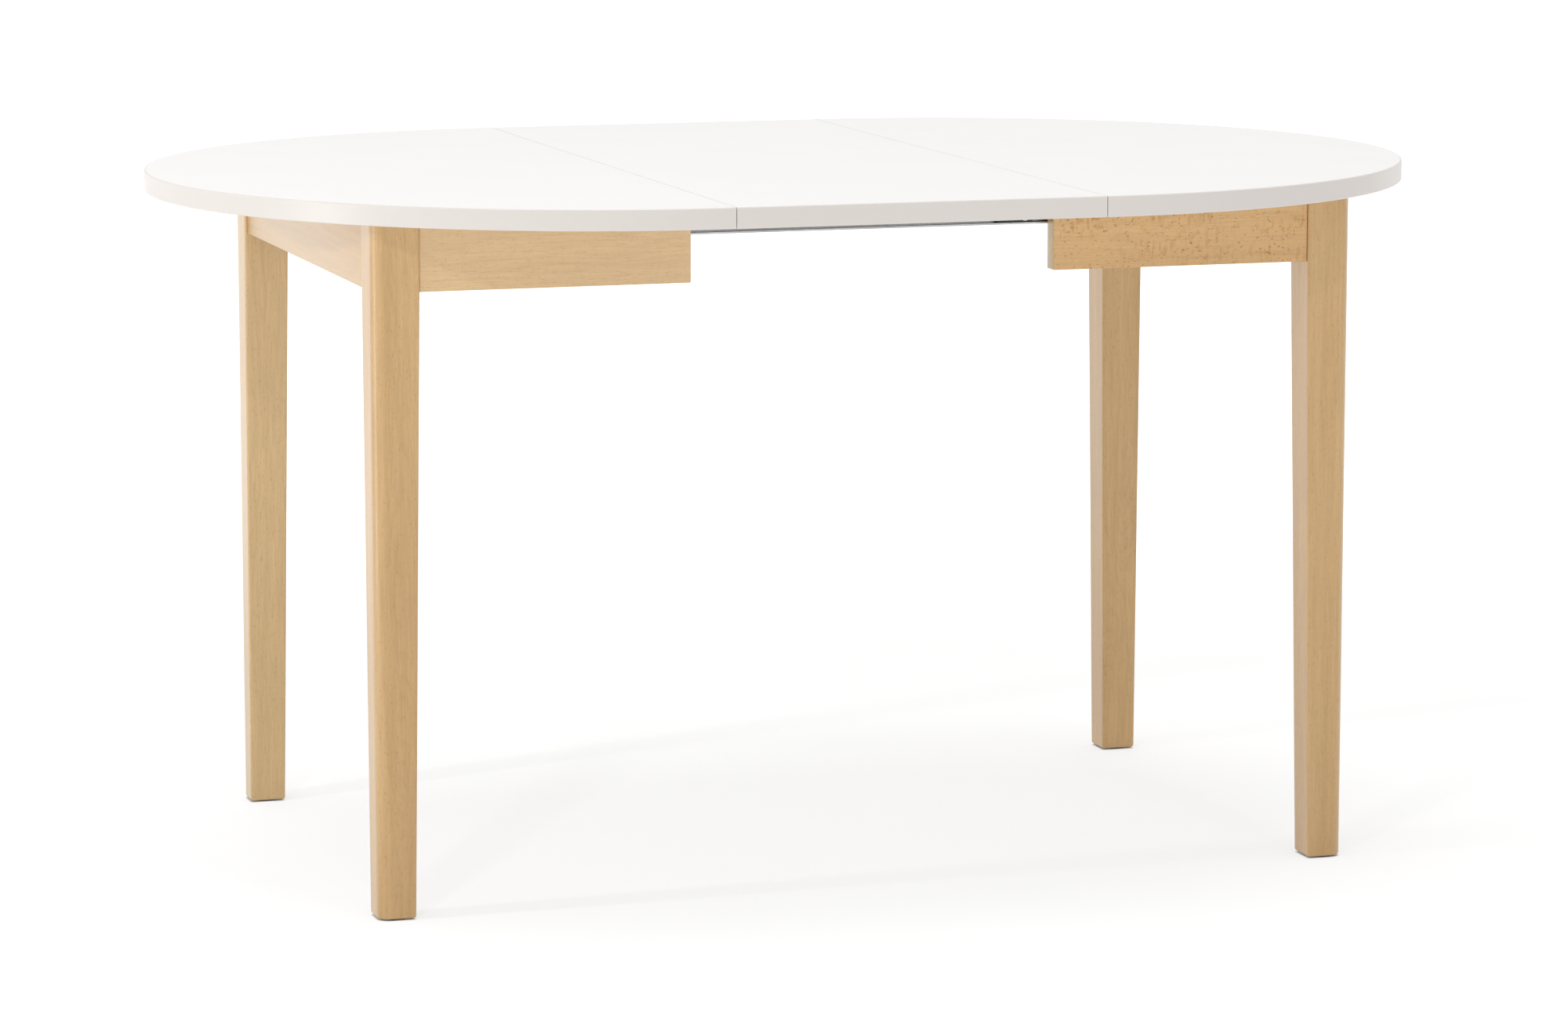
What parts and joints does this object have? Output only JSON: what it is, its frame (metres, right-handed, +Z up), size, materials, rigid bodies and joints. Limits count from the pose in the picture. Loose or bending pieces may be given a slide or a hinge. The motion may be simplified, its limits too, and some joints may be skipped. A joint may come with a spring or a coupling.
{
  "type": "extending dining table",
  "caption": "Round dining table that pulls apart on steel runners to take a loose rectangular leaf: white laminate top, beech aprons and tapered legs.",
  "frame": {"origin": "on the floor below the middle of the leaf", "axes": "+X along the extension to the right end, +Y to the back, +Z up"},
  "size_m": [1.3998, 1, 0.75],
  "materials": {
    "white_laminate": "matt white laminate on particle board",
    "white_edging": "satin white edge band",
    "beech": "clear satin lacquer on steamed beech",
    "zinc_steel": "zinc plated",
    "black_plastic": "moulded",
    "nylon": "natural nylon",
    "brown_plastic": "moulded"
  },
  "bodies": {
    "left_end": {"left_top": "white_laminate", "left_edge_band": "white_edging", "left_end_apron": "beech", "left_top_screws": "zinc_steel", "left_hanger_bolts": "zinc_steel", "left_leg_nuts": "zinc_steel", "left_plate_screws": "zinc_steel", "left_runner_screws": "zinc_steel", "left_shoe_buttons": "nylon", "front_left_leg": "beech", "front_left_glide": "brown_plastic", "front_left_apron": "beech", "front_left_corner_plate": "zinc_steel", "front_left_channel": "zinc_steel", "front_left_shoe": "black_plastic", "back_left_leg": "beech", "back_left_glide": "brown_plastic", "back_left_apron": "beech", "back_left_corner_plate": "zinc_steel", "back_left_channel": "zinc_steel", "back_left_shoe": "black_plastic"},
    "right_end": {"right_top": "white_laminate", "right_edge_band": "white_edging", "right_end_apron": "beech", "right_top_screws": "zinc_steel", "right_hanger_bolts": "zinc_steel", "right_leg_nuts": "zinc_steel", "right_plate_screws": "zinc_steel", "right_runner_screws": "zinc_steel", "right_shoe_buttons": "nylon", "front_right_leg": "beech", "front_right_glide": "brown_plastic", "front_right_apron": "beech", "front_right_corner_plate": "zinc_steel", "front_right_channel": "zinc_steel", "front_right_shoe": "black_plastic", "back_right_leg": "beech", "back_right_glide": "brown_plastic", "back_right_apron": "beech", "back_right_corner_plate": "zinc_steel", "back_right_channel": "zinc_steel", "back_right_shoe": "black_plastic"},
    "front_runner": {"front_rail": "zinc_steel", "front_rail_pads": "black_plastic"},
    "back_runner": {"back_rail": "zinc_steel", "back_rail_pads": "black_plastic"},
    "leaf": {"leaf_panel": "white_laminate", "leaf_front_band": "white_edging", "leaf_back_band": "white_edging", "leaf_pegs": "nylon"}
  },
  "joints": [
    {"name": "right_end_slide", "type": "slide", "parent": "left_end", "child": "right_end", "axis": [1, 0, 0], "range_m": [0, 0.05]},
    {"name": "front_runner_slide", "type": "slide", "parent": "left_end", "child": "front_runner", "axis": [1, 0, 0], "range_m": [0, 0.025]},
    {"name": "back_runner_slide", "type": "slide", "parent": "left_end", "child": "back_runner", "axis": [1, 0, 0], "range_m": [0, 0.025]},
    {"name": "leaf_lift", "type": "slide", "parent": "front_runner", "child": "leaf", "axis": [0, 0, 1], "range_m": [0, 0.3]}
  ],
  "couplings": [
    {"joint": "front_runner_slide", "follows": "right_end_slide", "ratio": 0.5},
    {"joint": "back_runner_slide", "follows": "right_end_slide", "ratio": 0.5}
  ]
}
